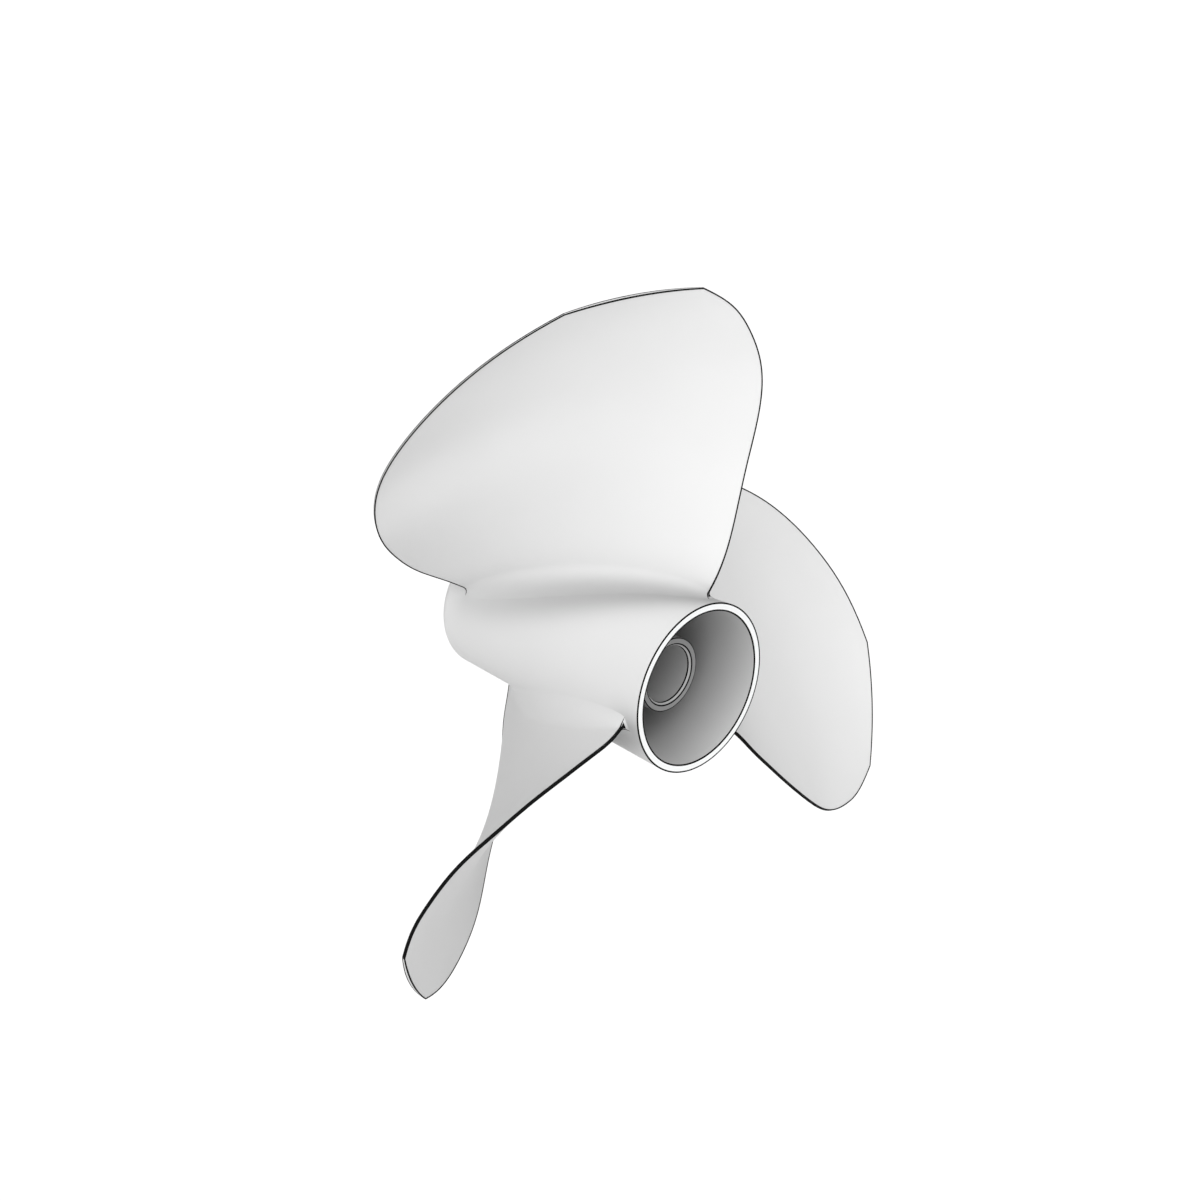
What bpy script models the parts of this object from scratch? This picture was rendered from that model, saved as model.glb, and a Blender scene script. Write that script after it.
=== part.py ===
"""Three-bladed left-handed boat propeller with an open-backed hub, at its real size in metres.

The shaft runs along X and +X points aft. The origin is the centre of the flat thrust face at the hub's front.
The real propeller is one aluminium casting. It is built here as the members of that casting: the front web
with its thrust face, the thin barrel behind it, the bored boss inside the barrel, and the blades with their
root fillets.
"""

import math

import bmesh
import bpy
import numpy as np

# Whole propeller
TIP_RADIUS = 0.230
BLADE_COUNT = 3
SEAT_GAP = 0.0003

# Hub, turned about X
HUB_LENGTH = 0.176
HUB_FRONT_RADIUS = 0.0419
HUB_RIM_RADIUS = 0.0514
HUB_WALL = 0.0050
NOSE_ROUNDING = 0.006
WEB_THICKNESS = 0.014
WEB_FILLET = 0.005
BOSS_AFT_FACE = 0.152
BOSS_RADIUS = 0.0225
BORE_RADIUS = 0.0172
BORE_CHAMFER = 0.0016
TURNING_STEPS = 96
ARC_STEPS = 5

# Blade outline: radius as a share of the tip radius, then the angle round the shaft in degrees
# and the distance aft of the thrust face in metres, of the leading edge and of the trailing edge
BLADE_OUTLINE = (
    (0.200, 146.7, 0.0207, 70.4, 0.1639),
    (0.270, 146.9, 0.0184, 70.6, 0.1683),
    (0.350, 147.6, 0.0145, 70.3, 0.1703),
    (0.450, 146.3, 0.0160, 70.7, 0.1706),
    (0.570, 143.1, 0.0224, 71.3, 0.1705),
    (0.700, 136.3, 0.0342, 72.0, 0.1714),
    (0.820, 127.7, 0.0585, 73.8, 0.1693),
    (0.910, 117.8, 0.0849, 77.4, 0.1645),
    (0.965, 109.8, 0.1056, 81.0, 0.1592),
    (1.000, 103.1, 0.1216, 84.9, 0.1536),
)
EDGE_THICKNESS = 0.0013
ROOT_THICKNESS = 0.0080
TIP_THICKNESS = 0.0030

# How far the middle of the blade's section bows forward, at shares of the tip radius
BOW_STATIONS = (0.2, 0.6, 1.0)
BOW_DEPTHS = (0.0051, 0.0047, 0.0)

# Blade root fillet and the grid of the blade's surface
FILLET_AMIDSHIPS = 0.014
FILLET_AT_EDGES = 0.004
ROOT_NOMINAL_RADIUS = 0.047
ROOT_BLEND_HEIGHT = 0.060
CHORD_STEPS = 24
FILLET_STEPS = 8
SPAN_STEPS = 22
FOOT_STEPS = 8

WHITE_COAT = (0.80, 0.80, 0.80, 1.0)
COAT_ROUGHNESS = 0.6
SHARP_CORNER = math.radians(30)


def clear_scene():
    for item in list(bpy.data.objects):
        bpy.data.objects.remove(item)


def make_collection(name):
    collection = bpy.data.collections.new(name)
    bpy.context.scene.collection.children.link(collection)
    return collection


def coated_metal(name):
    """White powder coat on cast aluminium."""
    material = bpy.data.materials.new(name)
    material.use_nodes = True
    shader = material.node_tree.nodes["Principled BSDF"]
    shader.inputs["Base Color"].default_value = WHITE_COAT
    shader.inputs["Roughness"].default_value = COAT_ROUGHNESS
    shader.inputs["Metallic"].default_value = 0.0
    return material


def hub_radius(aft):
    """Outer radius of the hub's cone at a distance aft of the thrust face."""
    return HUB_FRONT_RADIUS + (HUB_RIM_RADIUS - HUB_FRONT_RADIUS) * aft / HUB_LENGTH


def arc(centre_radius, centre_aft, radius, start, end):
    """Points of a rounded corner, as (radius, aft), between two angles in degrees from the radial way."""
    angles = [math.radians(start + (end - start) * step / ARC_STEPS) for step in range(ARC_STEPS + 1)]
    return [(centre_radius + radius * math.cos(a), centre_aft + radius * math.sin(a)) for a in angles]


def shade(mesh):
    """Smooth shading, apart from the sharp corners."""
    mesh.shade_smooth()
    mesh.set_sharp_from_angle(angle=SHARP_CORNER)


def turned(name, profile, collection):
    """A solid turned about the shaft from a closed profile of (radius, aft), outer side from aft to front."""
    mesh = bpy.data.meshes.new(name)
    corners = [(radius, 0.0, aft) for radius, aft in profile]
    sides = [(i, (i + 1) % len(corners)) for i in range(len(corners))]
    mesh.from_pydata(corners, sides, [])
    item = bpy.data.objects.new(name, mesh)
    item.rotation_euler = (0.0, math.pi / 2, 0.0)
    collection.objects.link(item)
    spin = item.modifiers.new("turn", "SCREW")
    spin.axis = "Z"
    spin.angle = 2 * math.pi
    spin.steps = TURNING_STEPS
    spin.render_steps = TURNING_STEPS
    spin.use_merge_vertices = True
    spin.merge_threshold = 0.0001
    item.data.materials.append(coated_metal(name + "_coat"))
    bpy.context.view_layer.update()
    turned_item = item.evaluated_get(bpy.context.evaluated_depsgraph_get())
    item.data = bpy.data.meshes.new_from_object(turned_item)
    item.modifiers.clear()
    shade(item.data)


def make_front_web(collection):
    """The closed front of the hub: the thrust face, a rounded shoulder and the wall that carries the boss."""
    shoulder_radius = hub_radius(NOSE_ROUNDING)
    inner_radius = BOSS_RADIUS + SEAT_GAP
    profile = [(hub_radius(WEB_THICKNESS), WEB_THICKNESS)]
    profile += arc(shoulder_radius - NOSE_ROUNDING, NOSE_ROUNDING, NOSE_ROUNDING, 0, -90)
    profile += [(inner_radius, 0.0), (inner_radius, WEB_THICKNESS)]
    turned("front_web", profile, collection)


def make_barrel(collection):
    """The thin tapered wall from the front web to the open rim, with a fillet where it meets the web inside."""
    front = WEB_THICKNESS + SEAT_GAP
    inner_front = hub_radius(front) - HUB_WALL
    inner_rim = HUB_RIM_RADIUS - HUB_WALL
    profile = [(HUB_RIM_RADIUS, HUB_LENGTH), (hub_radius(front), front)]
    profile += arc(inner_front - WEB_FILLET, front + WEB_FILLET, WEB_FILLET, -90, 0)
    profile += [(inner_rim, HUB_LENGTH)]
    turned("hub_barrel", profile, collection)


def make_boss(collection):
    """The bored boss that takes the shaft, chamfered at both mouths of the bore."""
    mouth = BORE_RADIUS + BORE_CHAMFER
    profile = [
        (BOSS_RADIUS, BOSS_AFT_FACE),
        (BOSS_RADIUS, 0.0),
        (mouth, 0.0),
        (BORE_RADIUS, BORE_CHAMFER),
        (BORE_RADIUS, BOSS_AFT_FACE - BORE_CHAMFER),
        (mouth, BOSS_AFT_FACE),
    ]
    turned("shaft_boss", profile, collection)


def spline_through(places, values, where):
    """Natural cubic spline through the given values, read at the places in where."""
    places, values, where = np.array(places), np.array(values), np.asarray(where)
    gaps, slopes = np.diff(places), np.diff(values) / np.diff(places)
    system = np.eye(len(places))
    right = np.zeros(len(places))
    for i in range(1, len(places) - 1):
        system[i, i - 1 : i + 2] = gaps[i - 1], 2 * (gaps[i - 1] + gaps[i]), gaps[i]
        right[i] = 6 * (slopes[i] - slopes[i - 1])
    bends = np.linalg.solve(system, right)
    span = np.clip(np.searchsorted(places, where) - 1, 0, len(gaps) - 1)
    width, before, after = gaps[span], where - places[span], places[span + 1] - where
    curve = (bends[span] * after**3 + bends[span + 1] * before**3) / (6 * width)
    start = values[span] / width - bends[span] * width / 6
    end = values[span + 1] / width - bends[span + 1] * width / 6
    return curve + start * after + end * before


def blade_thickness(share):
    """Greatest thickness of the section at a share of the tip radius, falling evenly from root to tip."""
    root_share = ROOT_NOMINAL_RADIUS / TIP_RADIUS
    return ROOT_THICKNESS + (TIP_THICKNESS - ROOT_THICKNESS) * (share - root_share) / (1 - root_share)


def fillet_reach(height, radius):
    """How far a quarter-round fillet of that radius stands out, at a height above the hub."""
    inside = np.clip(1 - height / radius, 0.0, 1.0)
    return radius * (1 - np.sqrt(1 - inside**2))


def blade_point(chord, height, side, crosswise=1.0):
    """Point of the blade, as (angle, aft, radius).

    chord runs from 0 at the trailing edge to 1 at the leading edge, height is above the hub, side is +1 on the
    aft face and -1 on the forward face. crosswise scales the way out from the middle of the section.
    """
    nominal = ROOT_NOMINAL_RADIUS + height
    share = nominal / TIP_RADIUS
    ratios, lead_angles, lead_afts, trail_angles, trail_afts = zip(*BLADE_OUTLINE)
    lead_angle = np.radians(spline_through(ratios, lead_angles, share))
    lead_aft = spline_through(ratios, lead_afts, share)
    trail_angle = np.radians(spline_through(ratios, trail_angles, share))
    trail_aft = spline_through(ratios, trail_afts, share)
    along, aft = nominal * (lead_angle - trail_angle), lead_aft - trail_aft
    length = np.hypot(along, aft)
    swell = 4 * chord * (1 - chord)
    fillet = FILLET_AT_EDGES + (FILLET_AMIDSHIPS - FILLET_AT_EDGES) * np.sqrt(swell)
    half = EDGE_THICKNESS + (blade_thickness(share) - EDGE_THICKNESS) * swell
    bow = spline_through(BOW_STATIONS, BOW_DEPTHS, share)
    out = side * crosswise * (half / 2 + fillet_reach(height, fillet)) - bow * swell
    past_edge = (2 * chord - 1) ** 9 * fillet_reach(height, FILLET_AT_EDGES)
    forward = chord * length + past_edge
    angle = trail_angle + (along * forward - aft * out) / length / nominal
    place = trail_aft + (aft * forward + along * out) / length
    blend = np.clip(1 - height / ROOT_BLEND_HEIGHT, 0.0, 1.0) ** 2
    radius = nominal + (hub_radius(place) + SEAT_GAP - ROOT_NOMINAL_RADIUS) * blend
    return angle, place, radius


def blade_mesh():
    """Loft of the blade's sections, closed by a foot that follows the hub and by a strip at the tip."""
    chords = (1 - np.cos(np.linspace(0, math.pi, CHORD_STEPS + 1))) / 2
    fillet_heights = FILLET_AMIDSHIPS * np.linspace(0, 1, FILLET_STEPS + 1) ** 2
    towards_tip = np.sin(np.linspace(0, math.pi / 2, SPAN_STEPS + 1)[1:])
    above_fillet = TIP_RADIUS - ROOT_NOMINAL_RADIUS - FILLET_AMIDSHIPS
    heights = np.concatenate([fillet_heights, FILLET_AMIDSHIPS + above_fillet * towards_tip])
    loop_chords = np.concatenate([chords, chords[::-1]])
    loop_sides = np.repeat([1.0, -1.0], len(chords))
    rings = [blade_point(loop_chords, height, loop_sides) for height in heights]
    crossings = np.linspace(1, -1, FOOT_STEPS + 1)[1:-1]
    rings += [blade_point(chords, 0.0, 1.0, crosswise) for crosswise in crossings]
    points = np.concatenate([np.stack([r + 0 * a, a, x + 0 * a], axis=1) for a, x, r in rings])
    radius, angle, aft = points.T
    corners = np.stack([aft, radius * np.cos(angle), radius * np.sin(angle)], axis=1)
    return corners, blade_faces(len(chords), len(heights))


def blade_faces(chord_points, ring_count):
    """Corner numbers of the faces: the skin between rings, the tip strip and the foot's grid."""
    loop = 2 * chord_points
    faces = []
    for ring in range(ring_count - 1):
        for i in range(loop):
            j = (i + 1) % loop
            low, high = ring * loop, (ring + 1) * loop
            faces.append((low + i, low + j, high + j, high + i))
    tip = (ring_count - 1) * loop
    for i in range(chord_points - 1):
        faces.append((tip + i, tip + i + 1, tip + loop - 2 - i, tip + loop - 1 - i))
    inner = ring_count * loop
    rows = [list(range(chord_points))]
    for k in range(FOOT_STEPS - 1):
        first = inner + k * chord_points
        rows.append(list(range(first, first + chord_points)))
    rows.append([loop - 1 - i for i in range(chord_points)])
    for upper, lower in zip(rows, rows[1:]):
        for i in range(chord_points - 1):
            faces.append((upper[i], upper[i + 1], lower[i + 1], lower[i]))
    for end in (0, chord_points - 1):
        faces.append(tuple(row[end] for row in rows))
    return faces


def make_blades(collection):
    """The blades, alike and evenly spaced round the shaft."""
    corners, faces = blade_mesh()
    for number in range(BLADE_COUNT):
        name = f"blade_{number + 1}"
        mesh = bpy.data.meshes.new(name)
        mesh.from_pydata(corners.tolist(), [], faces)
        shape = bmesh.new()
        shape.from_mesh(mesh)
        bmesh.ops.recalc_face_normals(shape, faces=shape.faces)
        shape.to_mesh(mesh)
        shape.free()
        mesh.materials.append(coated_metal(name + "_coat"))
        shade(mesh)
        item = bpy.data.objects.new(name, mesh)
        item.rotation_euler = (-2 * math.pi * number / BLADE_COUNT, 0.0, 0.0)
        collection.objects.link(item)


def main():
    clear_scene()
    collection = make_collection("propeller")
    make_front_web(collection)
    make_barrel(collection)
    make_boss(collection)
    make_blades(collection)
    bpy.context.view_layer.update()


main()
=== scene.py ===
"""Looks of the boat propeller: one white-coated casting whose cut edges carry a thin dark seal.

Every piece stands in the CAD frame, in metres: X is the shaft's axis, +X points aft, and the origin is on
the thrust face.
"""

import math
from collections import namedtuple

import bpy
import numpy as np
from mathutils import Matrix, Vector


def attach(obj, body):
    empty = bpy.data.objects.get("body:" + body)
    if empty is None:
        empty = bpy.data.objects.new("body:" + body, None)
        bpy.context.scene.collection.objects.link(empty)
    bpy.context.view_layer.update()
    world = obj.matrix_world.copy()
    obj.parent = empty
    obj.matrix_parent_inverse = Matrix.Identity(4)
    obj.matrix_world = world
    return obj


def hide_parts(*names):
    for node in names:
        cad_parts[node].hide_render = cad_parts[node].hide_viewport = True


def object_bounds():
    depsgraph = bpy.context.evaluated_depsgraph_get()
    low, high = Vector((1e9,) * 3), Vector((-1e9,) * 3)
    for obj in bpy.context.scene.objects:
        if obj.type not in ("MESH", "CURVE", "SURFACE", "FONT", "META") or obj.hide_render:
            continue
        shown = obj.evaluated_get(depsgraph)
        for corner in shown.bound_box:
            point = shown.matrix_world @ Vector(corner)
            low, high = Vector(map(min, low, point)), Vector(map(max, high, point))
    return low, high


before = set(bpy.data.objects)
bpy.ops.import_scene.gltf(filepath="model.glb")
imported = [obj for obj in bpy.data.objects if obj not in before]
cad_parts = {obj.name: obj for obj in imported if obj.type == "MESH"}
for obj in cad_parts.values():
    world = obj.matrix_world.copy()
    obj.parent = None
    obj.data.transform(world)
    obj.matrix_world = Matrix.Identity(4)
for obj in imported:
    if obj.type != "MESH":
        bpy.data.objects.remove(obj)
cad_low, cad_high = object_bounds()

# Hub: the body of the casting, a tapered shell closed by a web at the front and open at the back, with the
# bored boss inside it. Sand-cast in aluminium in one with the blades, turned at the rim, boss and bore, and
# powder-coated white. The rim's flat ring is given bright turned aluminium: painted light, lighter than the
# coat so that face shows lit.

HUB_LENGTH = 0.176
HUB_FRONT_RADIUS = 0.0419
HUB_RIM_RADIUS = 0.0514
HUB_WALL = 0.0050
NOSE_ROUNDING = 0.006
WEB_THICKNESS = 0.014
CASTING_FILLET = 0.005
BOSS_AFT_FACE = 0.152
BOSS_RADIUS = 0.0225
BORE_RADIUS = 0.0172
BORE_CHAMFER = 0.0016
SEAL_ON_COAT = 0.0005
SEAL_ON_RIM = 0.0009
SEALED_FROM_DEGREES = 25
SHARP_FROM_DEGREES = 30
COATED, SEALED, LIT_RIM = 0, 1, 2
COAT_WHITE = "#BEBEBE"
COAT_CLOUD = "#BABABA"
# The dark grey that paints shade into the coat.
SHADE_GREY = "#484848"
SEAL_BLACK = "#0C0C0C"
RIM_LIGHT_ALUMINIUM = "#F4F5F5"
# Painted shade inside the barrel: how far below the rim it takes to reach full depth, and the shares of dark
# grey at the mouth and, added, on the boss's flat end.
SHADE_REACH = 0.110
SHADE_AT_MOUTH = 0.30
SHADE_ON_BOSS_END = 0.26
# Lengths and shares of a length that differ by less than these count as the same.
SAME_PLACE = 1e-6
SAME_SHARE = 1e-9


def linear(hex_colour):
    """The linear colour of an sRGB hex value: each channel's sRGB curve undone."""
    channels = [int(hex_colour[i : i + 2], 16) / 255 for i in (1, 3, 5)]
    return tuple(c / 12.92 if c <= 0.04045 else ((c + 0.055) / 1.055) ** 2.4 for c in channels) + (1.0,)


def add_node(tree, kind, links=(), **settings):
    """Adds a node. Settings go to its properties or else its inputs; links are (output, input name)."""
    node = tree.nodes.new(kind)
    for name, value in settings.items():
        if hasattr(node, name):
            setattr(node, name, value)
        else:
            node.inputs[name.replace("_", " ")].default_value = value
    for output, name in links:
        tree.links.new(output, node.inputs[name])
    return node


def new_material(name, **settings):
    """A new material, its node tree and its shader, whose inputs take the settings."""
    material = bpy.data.materials.new(name)
    material.use_nodes = True
    shader = material.node_tree.nodes["Principled BSDF"]
    for setting, value in settings.items():
        shader.inputs[setting.replace("_", " ")].default_value = value
    return material, material.node_tree, shader


def coat_with_painted_shade():
    """White powder coat, baked on: matt, with the faint orange peel that powder flows into.

    Where the corners' painted-shade attribute is high, the colour is mixed towards dark grey: painted shade.
    """
    material, tree, shader = new_material(
        "white_coat_with_painted_shade", Roughness=0.62, IOR=1.5, Specular_IOR_Level=0.3
    )
    place = add_node(tree, "ShaderNodeTexCoord").outputs["Object"]
    # Powder lies thicker in some places than in others, in clouds about 60 mm across.
    clouds = add_node(tree, "ShaderNodeTexNoise", [(place, "Vector")], Scale=16.0, Detail=2.0)
    tint = add_node(tree, "ShaderNodeMix", [(clouds.outputs["Fac"], "Factor")], data_type="RGBA")
    tint.inputs["A"].default_value = linear(COAT_WHITE)
    tint.inputs["B"].default_value = linear(COAT_CLOUD)
    # Painted shade: the attribute mixes the coat towards dark grey inside the barrel and at the blade roots.
    painted_shade = add_node(tree, "ShaderNodeAttribute", attribute_name="painted_shade")
    thin = add_node(tree, "ShaderNodeMix", [(painted_shade.outputs["Fac"], "Factor")], data_type="RGBA")
    tree.links.new(tint.outputs["Result"], thin.inputs["A"])
    thin.inputs["B"].default_value = linear(SHADE_GREY)
    tree.links.new(thin.outputs["Result"], shader.inputs["Base Color"])
    # Orange peel is about 2 mm from crest to crest and a few micrometres high.
    peel = add_node(tree, "ShaderNodeTexNoise", [(place, "Vector")], Scale=480.0, Detail=1.0)
    height = [(peel.outputs["Fac"], "Height")]
    relief = add_node(tree, "ShaderNodeBump", height, Strength=0.12, Distance=0.00004)
    tree.links.new(relief.outputs["Normal"], shader.inputs["Normal"])
    return material


def edge_seal():
    """Near-black epoxy brushed along cut edges, where powder draws thin: matt and slightly uneven."""
    material, tree, shader = new_material(
        "black_epoxy_edge_seal", Base_Color=linear(SEAL_BLACK), IOR=1.5, Specular_IOR_Level=0.05
    )
    place = add_node(tree, "ShaderNodeTexCoord").outputs["Object"]
    # Brushing varies over about 4 mm.
    brushing = add_node(tree, "ShaderNodeTexNoise", [(place, "Vector")], Scale=250.0, Detail=2.0)
    value = [(brushing.outputs["Fac"], "Value")]
    gloss = add_node(tree, "ShaderNodeMapRange", value, To_Min=0.7, To_Max=0.9)
    tree.links.new(gloss.outputs["Result"], shader.inputs["Roughness"])
    return material


def rim_light_metal():
    """Bright aluminium, painted light that makes the rim's face look lit; lathe rings round the shaft soften
    its reflections.
    """
    material, tree, shader = new_material(
        "rim_painted_light_aluminium", Base_Color=linear(RIM_LIGHT_ALUMINIUM), Metallic=1.0, Roughness=0.42
    )
    place = add_node(tree, "ShaderNodeTexCoord").outputs["Object"]
    # A wave's rings are 0.314 apart at scale 1, so about 1 mm apart here, a coarse feed of the lathe.
    rings = add_node(tree, "ShaderNodeTexWave", [(place, "Vector")], wave_type="RINGS", Scale=330.0)
    rings.rings_direction = "X"
    height = [(rings.outputs["Fac"], "Height")]
    relief = add_node(tree, "ShaderNodeBump", height, Strength=0.3, Distance=0.000006)
    tree.links.new(relief.outputs["Normal"], shader.inputs["Normal"])
    return material


seal = edge_seal()
casting_materials = (coat_with_painted_shade(), seal, rim_light_metal())


def put_in_scene(name, data):
    """A new object that shows the data, linked to the scene."""
    piece = bpy.data.objects.new(name, data)
    bpy.context.scene.collection.objects.link(piece)
    return piece


def finish_piece(name, corners, quads, finish, painted_shade, nodes):
    """Makes a casting piece from corners and faces, with each face's finish and each corner's painted shade.
    """
    mesh = bpy.data.meshes.new(name)
    mesh.from_pydata(corners, [], quads)
    for material in casting_materials:
        mesh.materials.append(material)
    mesh.polygons.foreach_set("material_index", finish.astype(np.int32))
    mesh.polygons.foreach_set("use_smooth", np.ones(len(mesh.polygons), dtype=bool))
    mesh.set_sharp_from_angle(angle=math.radians(SHARP_FROM_DEGREES))
    mesh.attributes.new("painted_shade", "FLOAT", "POINT").data.foreach_set("value", painted_shade.astype(np.float32))
    piece = put_in_scene(name, mesh)
    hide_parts(*nodes)
    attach(piece, "root")
    return piece


def hub_radius(aft):
    """Outer radius of the hub's cone, a straight line from the front face to the rim."""
    return HUB_FRONT_RADIUS + (HUB_RIM_RADIUS - HUB_FRONT_RADIUS) * aft / HUB_LENGTH


def arc(radius, aft, size, start, end, steps=10):
    """Points of a circle of that size round (radius, aft), between two angles in degrees from outwards."""
    angles = np.radians(np.linspace(start, end, steps + 1))
    return np.stack([radius + size * np.cos(angles), aft + size * np.sin(angles)], axis=1)


def hub_profile():
    """Closed outline of the hub as (radius, aft) rows: the outside from rim to front, then the inside."""
    nose = hub_radius(NOSE_ROUNDING) - NOSE_ROUNDING
    mouth = BORE_RADIUS + BORE_CHAMFER
    web_foot = WEB_THICKNESS + CASTING_FILLET
    wall_foot = hub_radius(web_foot) - HUB_WALL - CASTING_FILLET
    return np.concatenate(
        [
            [[HUB_RIM_RADIUS, HUB_LENGTH]],
            arc(nose, NOSE_ROUNDING, NOSE_ROUNDING, 0, -90),
            [[mouth, 0.0], [BORE_RADIUS, BORE_CHAMFER], [BORE_RADIUS, BOSS_AFT_FACE - BORE_CHAMFER]],
            [[mouth, BOSS_AFT_FACE], [BOSS_RADIUS, BOSS_AFT_FACE]],
            arc(BOSS_RADIUS + CASTING_FILLET, web_foot, CASTING_FILLET, 180, 270),
            arc(wall_foot, web_foot, CASTING_FILLET, -90, 0),
            [[HUB_RIM_RADIUS - HUB_WALL, HUB_LENGTH]],
        ]
    )


def with_seals(outline, longest=0.004):
    """Cuts a closed outline finely, and gives each sharp corner a seal's width on both of its sides.

    Returns the points and, for the stretch that starts at each, its finish. The closing side is the rim's
    ring, in painted light.
    """
    before = outline - np.roll(outline, 1, axis=0)
    after = np.roll(outline, -1, axis=0) - outline
    length = np.hypot(*after.T)
    turn = np.degrees(np.arccos(np.clip((before * after).sum(1) / np.hypot(*before.T) / length, -1, 1)))
    sharp = turn > SEALED_FROM_DEGREES
    points, finish = [], []
    for i, start in enumerate(outline):
        on_rim = i == len(outline) - 1
        width = SEAL_ON_RIM if on_rim else SEAL_ON_COAT
        head = width / length[i] if sharp[i] else 0.0
        tail = width / length[i] if sharp[(i + 1) % len(outline)] else 0.0
        inner = np.linspace(head, 1 - tail, int(length[i] / longest) + 2)
        stops = np.unique(np.concatenate([[0.0], inner]))
        stops = stops[stops < 1 - SAME_SHARE]
        points.append(start + stops[:, None] * after[i])
        near_corner = (stops < head - SAME_SHARE) | (stops > 1 - tail - SAME_SHARE)
        finish.append(np.where(near_corner, SEALED, LIT_RIM if on_rim else COATED))
    return np.concatenate(points), np.concatenate(finish)


def make_hub(turns=288):
    """The outline carried round the shaft: corner (i, j) is outline point i turned by j steps about X."""
    outline, finish = with_seals(hub_profile())
    angle = np.linspace(0, 2 * math.pi, turns, endpoint=False)
    radius, aft = outline[:, :1], outline[:, 1:]
    corners = np.stack([aft + 0 * angle, radius * np.cos(angle), radius * np.sin(angle)], axis=2)
    rows, columns = np.meshgrid(np.arange(len(outline)), np.arange(turns), indexing="ij")
    below, beside = (rows + 1) % len(outline), (columns + 1) % turns
    first, second = rows * turns, below * turns
    quads = np.stack([first + columns, second + columns, second + beside, first + beside])
    # Painted shade: the coat darkens steadily with the depth below the rim, on every surface inside the
    # barrel.
    inside = radius < hub_radius(aft) - HUB_WALL + SAME_PLACE
    shade_share = SHADE_AT_MOUTH + (1 - SHADE_AT_MOUTH) * np.clip((HUB_LENGTH - aft) / SHADE_REACH, 0, 1)
    # More painted shade on the boss's flat end.
    on_boss_end = (aft > BOSS_AFT_FACE - SAME_PLACE) & (radius < BOSS_RADIUS + SAME_PLACE)
    shade_share += np.where(on_boss_end, SHADE_ON_BOSS_END, 0.0)
    painted_shade = np.repeat(np.where(inside & (aft > 0), shade_share, 0.0), turns)
    nodes = ["front_web", "hub_barrel", "shaft_boss"]
    faces = quads.reshape(4, -1).T
    return finish_piece("hub", corners.reshape(-1, 3), faces, np.repeat(finish, turns), painted_shade, nodes)


hub = make_hub()

# Blades: three broad skewed screw blades, cast in one with the hub and powder-coated with it. A fillet,
# wide amidships and narrow at both ends, runs into the hub. The edges are ground flat and the tips are cut
# round the shaft. The trailing edges are sealed black, and the tips in a strip beside each corner.

TIP_RADIUS = 0.230
BLADE_COUNT = 3
# Rows of the outline: the share of the tip radius, then the leading edge's angle from +Y in degrees and its
# place aft, then the same two of the trailing edge.
BLADE_OUTLINE = (
    (0.200, 146.7, 0.0207, 70.4, 0.1639),
    (0.270, 146.9, 0.0184, 70.6, 0.1683),
    (0.350, 147.6, 0.0145, 70.3, 0.1703),
    (0.450, 146.3, 0.0160, 70.7, 0.1706),
    (0.570, 143.1, 0.0224, 71.3, 0.1705),
    (0.700, 136.3, 0.0342, 72.0, 0.1714),
    (0.820, 127.7, 0.0585, 73.8, 0.1693),
    (0.910, 117.8, 0.0849, 77.4, 0.1645),
    (0.965, 109.8, 0.1056, 81.0, 0.1592),
    (1.000, 103.1, 0.1216, 84.9, 0.1536),
)
EDGE_THICKNESS = 0.0013
ROOT_THICKNESS = 0.0080
TIP_THICKNESS = 0.0030
BOW_STATIONS = (0.2, 0.6, 1.0)
BOW_DEPTHS = (0.0051, 0.0047, 0.0)
FILLET_AMIDSHIPS = 0.014
FILLET_AT_EDGES = 0.004
FLARE_POWER = 9
ROOT_NOMINAL_RADIUS = 0.047
ROOT_BLEND_HEIGHT = 0.060
FOOT_SINK = 0.0001
BLADE_HEIGHT = TIP_RADIUS - ROOT_NOMINAL_RADIUS
SEAL_START = 0.0010
# Painted shade at a root: the share of dark grey, how that falls forward, and how far it runs.
SHADE_AT_ROOT = 0.46
SHADE_LOST_FORWARD = 0.65
SHADE_POWER = 3
SHADE_UP_BLADE = 0.007
SHADE_ALONG_HUB = 0.013

Sizes = namedtuple("Sizes", "nominal trail_angle trail_aft along aft length thickness bow")


def spline_through(places, values, where):
    """Natural cubic spline: cubic pieces through the values, which meet with equal slopes and bends."""
    places, values, where = np.array(places), np.array(values), np.asarray(where)
    gaps, slopes = np.diff(places), np.diff(values) / np.diff(places)
    system = np.eye(len(places))
    right = np.zeros(len(places))
    for i in range(1, len(places) - 1):
        system[i, i - 1 : i + 2] = gaps[i - 1], 2 * (gaps[i - 1] + gaps[i]), gaps[i]
        right[i] = 6 * (slopes[i] - slopes[i - 1])
    bends = np.linalg.solve(system, right)
    span = np.clip(np.searchsorted(places, where) - 1, 0, len(gaps) - 1)
    width, before, after = gaps[span], where - places[span], places[span + 1] - where
    curve = (bends[span] * after**3 + bends[span + 1] * before**3) / (6 * width)
    start = values[span] / width - bends[span] * width / 6
    end = values[span + 1] / width - bends[span + 1] * width / 6
    return curve + start * after + end * before


def fillet_reach(height, radius):
    """How far a quarter-round fillet stands out at a height: its radius less the circle's half chord."""
    inside = np.clip(1 - height / radius, 0.0, 1.0)
    return radius * (1 - np.sqrt(1 - inside**2))


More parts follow.
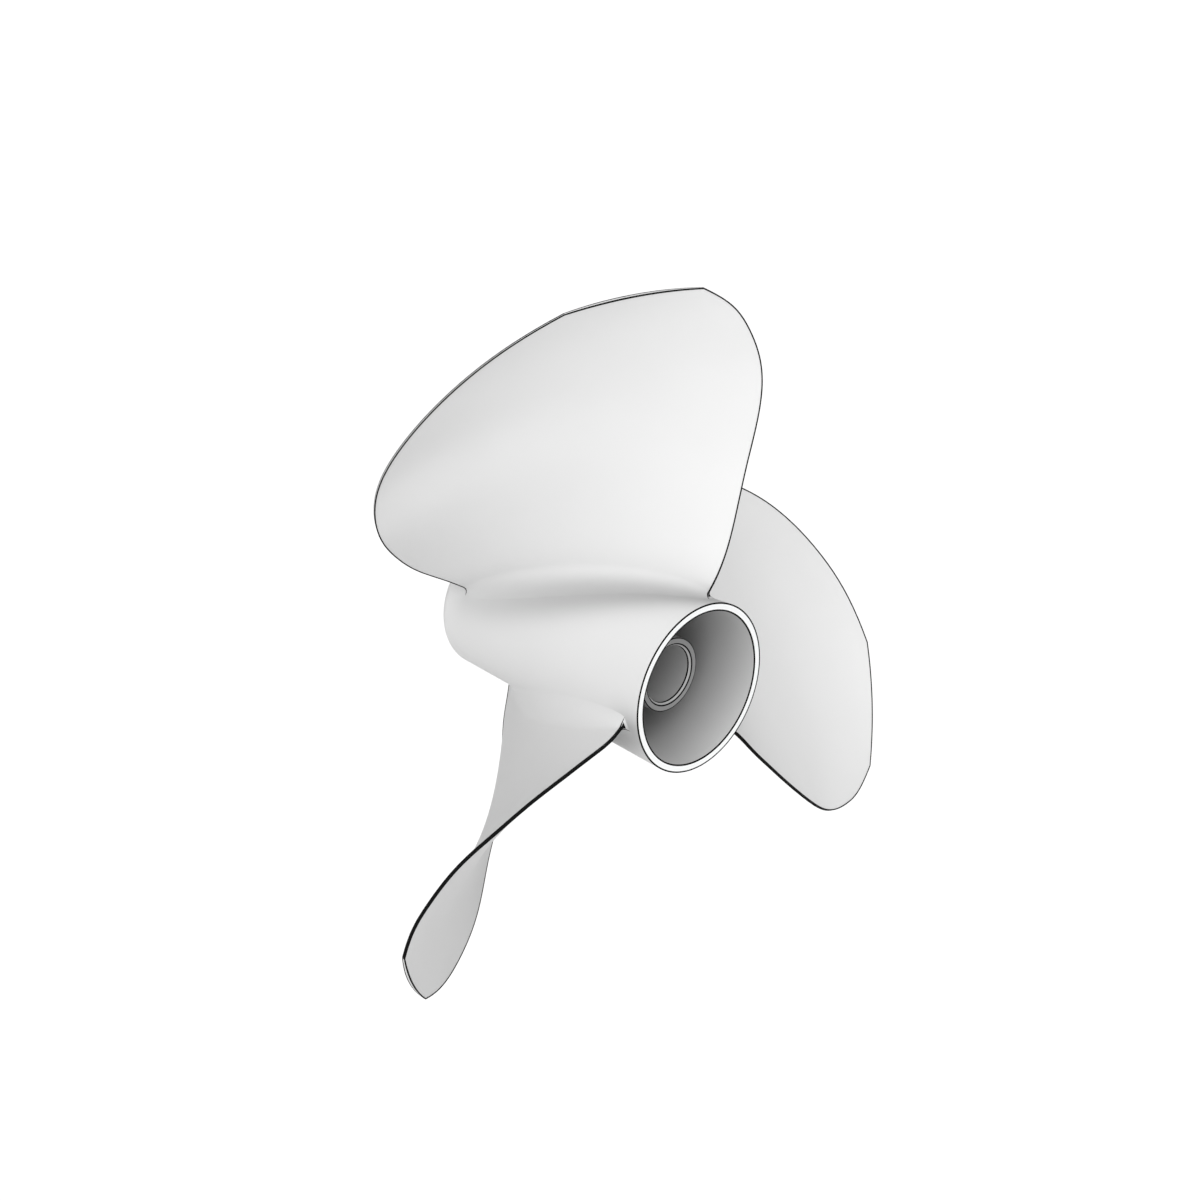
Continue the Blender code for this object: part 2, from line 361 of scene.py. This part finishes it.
def blade_sizes(height):
    """At a height above the hub: the trailing edge's place, the chord's run, the thickness and the bow.

    The chord runs from the trailing to the leading edge, along the cylinder and aft. The thickness amidships
    falls in a straight line from root to tip.
    """
    nominal = ROOT_NOMINAL_RADIUS + height
    share = nominal / TIP_RADIUS
    ratios, lead_angles, lead_afts, trail_angles, trail_afts = zip(*BLADE_OUTLINE)
    lead_angle = np.radians(spline_through(ratios, lead_angles, share))
    trail_angle = np.radians(spline_through(ratios, trail_angles, share))
    trail_aft = spline_through(ratios, trail_afts, share)
    along = nominal * (lead_angle - trail_angle)
    aft = spline_through(ratios, lead_afts, share) - trail_aft
    root_share = ROOT_NOMINAL_RADIUS / TIP_RADIUS
    thickness = ROOT_THICKNESS + (TIP_THICKNESS - ROOT_THICKNESS) * (share - root_share) / (1 - root_share)
    bow = spline_through(BOW_STATIONS, BOW_DEPTHS, share)
    return Sizes(nominal, trail_angle, trail_aft, along, aft, np.hypot(along, aft), thickness, bow)


def swell(chord):
    """A rise and fall along the chord, 4c(1-c): nothing at both edges and 1 amidships."""
    return 4 * chord * (1 - chord)


def half_thickness(chord, height):
    """Half the blade's thickness: it swells from the flat edges, and near the hub the fillet adds to it.

    The fillet's radius runs from the narrow to the wide one with the square root of the swell.
    """
    thickness = blade_sizes(height).thickness
    fillet = FILLET_AT_EDGES + (FILLET_AMIDSHIPS - FILLET_AT_EDGES) * np.sqrt(swell(chord))
    return (EDGE_THICKNESS + (thickness - EDGE_THICKNESS) * swell(chord)) / 2 + fillet_reach(height, fillet)


def blade_surface(chord, height, cross):
    """Corners of the blade: sections laid on cylinders round the shaft, each a thin cambered strip.

    chord is 0 at the trailing and 1 at the leading edge. cross is 1 on the aft and -1 on the forward face,
    and times the half thickness it is the distance from the middle line, which bows forward as the swell.
    Near the foot both edges flare by the narrow fillet: its reach times the ninth power of 2c-1, which is
    nearly nothing amidships. The radius goes over from the hub's own cone at the foot to the section's
    cylinder, with the square of the share of the blend's height that is left.
    """
    sizes = blade_sizes(height)
    out = cross * half_thickness(chord, height) - sizes.bow * swell(chord)
    forward = chord * sizes.length + (2 * chord - 1) ** FLARE_POWER * fillet_reach(height, FILLET_AT_EDGES)
    angle = sizes.trail_angle + (sizes.along * forward - sizes.aft * out) / sizes.length / sizes.nominal
    place = sizes.trail_aft + (sizes.aft * forward + sizes.along * out) / sizes.length
    blend = np.clip(1 - height / ROOT_BLEND_HEIGHT, 0.0, 1.0) ** 2
    radius = sizes.nominal + (hub_radius(place) - FOOT_SINK - ROOT_NOMINAL_RADIUS) * blend
    return np.stack([place, radius * np.cos(angle), radius * np.sin(angle)], axis=-1)


def spin(number):
    """What turns rows of corners to a blade's place: one third of a turn about X for each number."""
    turn = 2 * math.pi * number / BLADE_COUNT
    return np.array([[1, 0, 0], [0, math.cos(turn), -math.sin(turn)], [0, math.sin(turn), math.cos(turn)]])


def root_shade(chord):
    """How deep the painted shade is at the aft face's root: less with the cube of the way to the leading
    edge.
    """
    return SHADE_AT_ROOT * (1 - SHADE_LOST_FORWARD * chord**SHADE_POWER)


def close_ring(across, inner, height, ring_start, inside_start):
    """Closes a ring of the skin with a grid of chord by thickness, and returns its new corners and cells.

    The grid's outer corners are those of the ring, numbered from ring_start on. The new ones inside it are
    numbered from inside_start on.
    """
    inside = blade_surface(across[None, 1:-1], height, inner[:, None])
    columns, rows = np.arange(len(across)), np.arange(len(inner))
    grid = np.zeros((len(inner) + 2, len(across)), dtype=int)
    grid[0] = columns
    grid[1:-1, -1] = len(across) + rows
    grid[-1] = 2 * len(across) + len(inner) - 1 - columns
    grid[1:-1, 0] = 2 * (len(across) + len(inner)) - 1 - rows
    grid += ring_start
    grid[1:-1, 1:-1] = inside_start + np.arange(len(rows) * (len(columns) - 2)).reshape(inside.shape[:2])
    return inside.reshape(-1, 3), np.stack([grid[:-1, :-1], grid[:-1, 1:], grid[1:, 1:], grid[1:, :-1]])


def make_blade(number, chord_steps=110, span_steps=110, band_steps=4, fillet_steps=26):
    """One blade, turned to its place round the shaft: the skin, the tip band and the foot under the fillet.

    Corner (i, j) of the skin is place j round the section at height i.
    """
    low = FILLET_AMIDSHIPS * np.linspace(0, 1, fillet_steps + 1) ** 2
    rise = np.sin(np.linspace(0, math.pi / 2, span_steps + 1))
    high = FILLET_AMIDSHIPS + (BLADE_HEIGHT - FILLET_AMIDSHIPS) * rise
    heights = np.concatenate([low, high[1:]])
    across = (1 - np.cos(np.linspace(0, math.pi, chord_steps + 1))) / 2
    inner = np.linspace(1, -1, band_steps + 1)[1:-1]
    chord = np.concatenate([across, 1 + 0 * inner, across[::-1], 0 * inner])
    cross = np.concatenate([1 + 0 * across, inner, -1 + 0 * across, -inner])
    skin = blade_surface(chord, heights[:, None], cross)
    rings, around = skin.shape[:2]
    rows, columns = np.meshgrid(np.arange(rings - 1), np.arange(around), indexing="ij")
    first, beside = rows * around, (columns + 1) % around
    cells = np.stack([first + columns, first + around + columns, first + around + beside, first + beside])
    tip, tip_cells = close_ring(across, inner, BLADE_HEIGHT, (rings - 1) * around, rings * around)
    foot, foot_cells = close_ring(across, inner, 0.0, 0, rings * around + len(tip))
    corners = np.concatenate([skin.reshape(-1, 3), tip, foot])
    parts = [part.reshape(4, -1) for part in (cells, tip_cells[::-1], foot_cells)]
    quads = np.concatenate(parts, axis=1).T
    # Painted shade on the aft face, darkening towards the root as a bell curve of the height above the hub.
    painted_shade = np.zeros(len(corners))
    shade_share = root_shade(chord) * np.exp(-((heights[:, None] / SHADE_UP_BLADE) ** 2)) * (1 + cross) / 2
    painted_shade[: rings * around] = shade_share.ravel()
    # The trailing edge is sealed right across, the cut tip in one strip beside each of its corners.
    finish = np.full(len(quads), COATED)
    skin_count, tip_count = (rings - 1) * around, band_steps * chord_steps
    trailing = (chord == 0) & (np.roll(chord, -1) == 0)
    finish[:skin_count][np.outer(heights[:-1] > SEAL_START, trailing).ravel()] = SEALED
    strip = np.arange(tip_count) // chord_steps
    finish[skin_count : skin_count + tip_count][(strip == 0) | (strip == band_steps - 1)] = SEALED
    name = f"blade_{number + 1}"
    finish_piece(f"{name}_casting", corners @ spin(number), quads, finish, painted_shade, [name])


def shade_hub_beside_roots(samples=160):
    """Paints shade on the hub beside the aft face of every root, as a bell curve of the distance to its foot.
    """
    chord = np.linspace(0, 1, samples)
    feet = blade_surface(chord, np.zeros(samples), np.ones(samples))
    places = np.empty(3 * len(hub.data.vertices))
    hub.data.vertices.foreach_get("co", places)
    aft, across, up = places.reshape(-1, 3).T
    angle = np.arctan2(up, across)
    step = 2 * math.pi / BLADE_COUNT
    shade_share = np.zeros(len(aft))
    for foot, most in zip(feet, root_shade(chord)):
        turn = np.mod(angle - math.atan2(foot[2], foot[1]) + step / 2, step) - step / 2
        distance = np.hypot(aft - foot[0], turn * hub_radius(aft))
        shade_share = np.maximum(shade_share, most * np.exp(-((distance / SHADE_ALONG_HUB) ** 2)))
    outside = np.hypot(across, up) > hub_radius(aft) - HUB_WALL / 2
    painted_shade = np.empty(len(aft), dtype=np.float32)
    hub.data.attributes["painted_shade"].data.foreach_get("value", painted_shade)
    painted_shade[outside] = shade_share[outside]
    hub.data.attributes["painted_shade"].data.foreach_set("value", painted_shade)


for blade_number in range(BLADE_COUNT):
    make_blade(blade_number)
shade_hub_beside_roots()

# Edge seals: black epoxy laid as a thin bead along both corners of every blade's cut edge, where powder draws
# thin and corrosion would start. Each bead runs up the trailing edge, across the tip and down the leading
# edge, and flares out with the fillet at the hub.

BEAD_RADIUS = 0.0004
BEAD_START = 0.0001
BEAD_RUN_IN = 0.003
BEAD_OUTWARD = 1.5


def bead_route(side, span_steps=180, tip_steps=60):
    """Places along a bead on one face just inside its edge, places out from the face, and radii.

    The radius grows as the square root of the height, so the bead starts and ends in a point at the hub.
    """
    up = BEAD_START + (BLADE_HEIGHT - BEAD_RADIUS - BEAD_START) * np.linspace(0, 1, span_steps) ** 2
    radius = BEAD_RADIUS * np.sqrt(np.clip(up / BEAD_RUN_IN, 0, 1))
    edge = radius / blade_sizes(up).length
    over = np.linspace(edge[-1], 1 - edge[-1], tip_steps)[1:-1]
    chord = np.concatenate([edge, over, 1 - edge[::-1]])
    height = np.concatenate([up, 0 * over + up[-1], up[::-1]])
    radius = np.concatenate([radius, 0 * over + BEAD_RADIUS, radius[::-1]])
    return blade_surface(chord, height, side), blade_surface(chord, height, side * BEAD_OUTWARD), radius


def bead(side, sides=10):
    """A round tube: corner (i, j) is route point i plus the radius turned by j steps about the route."""
    route, outward, radius = bead_route(side)
    ahead = np.gradient(route, axis=0)
    ahead /= np.linalg.norm(ahead, axis=1, keepdims=True)
    away = outward - route
    away -= (away * ahead).sum(1, keepdims=True) * ahead
    away /= np.linalg.norm(away, axis=1, keepdims=True)
    turn = np.linspace(0, 2 * math.pi, sides, endpoint=False)[None, :, None]
    ring = np.cos(turn) * away[:, None] + np.sin(turn) * np.cross(ahead, away)[:, None]
    corners = route[:, None] + radius[:, None, None] * ring
    rows, columns = np.meshgrid(np.arange(len(route) - 1), np.arange(sides), indexing="ij")
    first, beside = rows * sides, (columns + 1) % sides
    quads = np.stack([first + columns, first + beside, first + sides + beside, first + sides + columns])
    last = (len(route) - 1) * sides
    caps = [list(range(sides))[::-1], list(range(last, last + sides))]
    return corners.reshape(-1, 3), quads.reshape(4, -1).T.tolist() + caps


def make_edge_seal(number):
    """The two beads of one blade, as one piece."""
    corners, faces = [], []
    for side in (1.0, -1.0):
        tube, tube_faces = bead(side)
        start = sum(len(part) for part in corners)
        corners.append(tube)
        faces += [[start + corner for corner in face] for face in tube_faces]
    mesh = bpy.data.meshes.new(f"blade_{number + 1}_edge_seal")
    mesh.from_pydata(np.concatenate(corners) @ spin(number), [], faces)
    mesh.materials.append(seal)
    mesh.shade_smooth()
    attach(put_in_scene(mesh.name, mesh), "root")


for blade_number in range(BLADE_COUNT):
    make_edge_seal(blade_number)

# Floor: a plain pale studio floor of matt white paint, wide enough to fill the view. It lies well below the
# blades, because the propeller is held up by its bore.

FLOOR_DROP = 1.0
FLOOR_REACH = 12.0
FLOOR_SIDES = ((-1, -1), (1, -1), (1, 1), (-1, 1))
FLOOR_WHITE = "#E4E4E4"

floor_corners = [(FLOOR_REACH * x, FLOOR_REACH * y, cad_low.z - FLOOR_DROP) for x, y in FLOOR_SIDES]
floor_mesh = bpy.data.meshes.new("studio_floor")
floor_mesh.from_pydata(floor_corners, [], [(0, 1, 2, 3)])
floor_paint, _, _ = new_material(
    "matt_white_floor_paint", Base_Color=linear(FLOOR_WHITE), Roughness=1.0, Specular_IOR_Level=0.0
)
floor_mesh.materials.append(floor_paint)
put_in_scene("studio_floor", floor_mesh)

# Light: an even white room, one very broad low lamp behind the camera and a weaker high one over the aft
# side, so the faces that look away from both stay softly shaded. The wall is lit on its own: it shows as
# white as the floor, and sends the propeller only the weaker light of the room.

SKY_STRENGTH = 0.52
WALL_BRIGHTNESS = 1.05
LAMPS = (("broad_low_lamp", -58, 12, 3.2), ("broad_high_lamp", 0, 62, 2.1))
LAMP_BREADTH = 70

world = bpy.data.worlds.new("white_room")
world.use_nodes = True
room = world.node_tree.nodes["Background"]
room.inputs["Color"].default_value = (1.0, 1.0, 1.0, 1.0)
seen = [(add_node(world.node_tree, "ShaderNodeLightPath").outputs["Is Camera Ray"], "Value")]
glow = add_node(world.node_tree, "ShaderNodeMapRange", seen, To_Min=SKY_STRENGTH, To_Max=WALL_BRIGHTNESS)
world.node_tree.links.new(glow.outputs["Result"], room.inputs["Strength"])
bpy.context.scene.world = world
bpy.context.scene.view_settings.view_transform = "Standard"
for lamp_name, azimuth, elevation, strength in LAMPS:
    lamp_data = bpy.data.lights.new(lamp_name, "SUN")
    lamp_data.energy = strength
    lamp_data.angle = math.radians(LAMP_BREADTH)
    lamp = put_in_scene(lamp_name, lamp_data)
    lamp.rotation_euler = (math.radians(90 - elevation), 0.0, math.radians(90 + azimuth))

# Camera: aft of the propeller and above it, 42 degrees round to its -Y side, so that it looks into the open
# end of the hub. The lens and the sensor's width are in millimetres.

CAMERA_PLACE = (1.0410, -0.9459, 0.6556)
CAMERA_WAY = (-0.64027, 0.64035, -0.42426)
CAMERA_LENS = 75.5
CAMERA_SENSOR = 36.0
CAMERA_NEAR = 0.01
CAMERA_FAR = 100.0

camera_data = bpy.data.cameras.new("camera")
camera_data.lens = CAMERA_LENS
camera_data.sensor_width = CAMERA_SENSOR
camera_data.clip_start = CAMERA_NEAR
camera_data.clip_end = CAMERA_FAR
camera = put_in_scene("camera", camera_data)
camera.location = CAMERA_PLACE
camera.rotation_euler = Vector(CAMERA_WAY).to_track_quat("-Z", "Y").to_euler()
bpy.context.scene.camera = camera
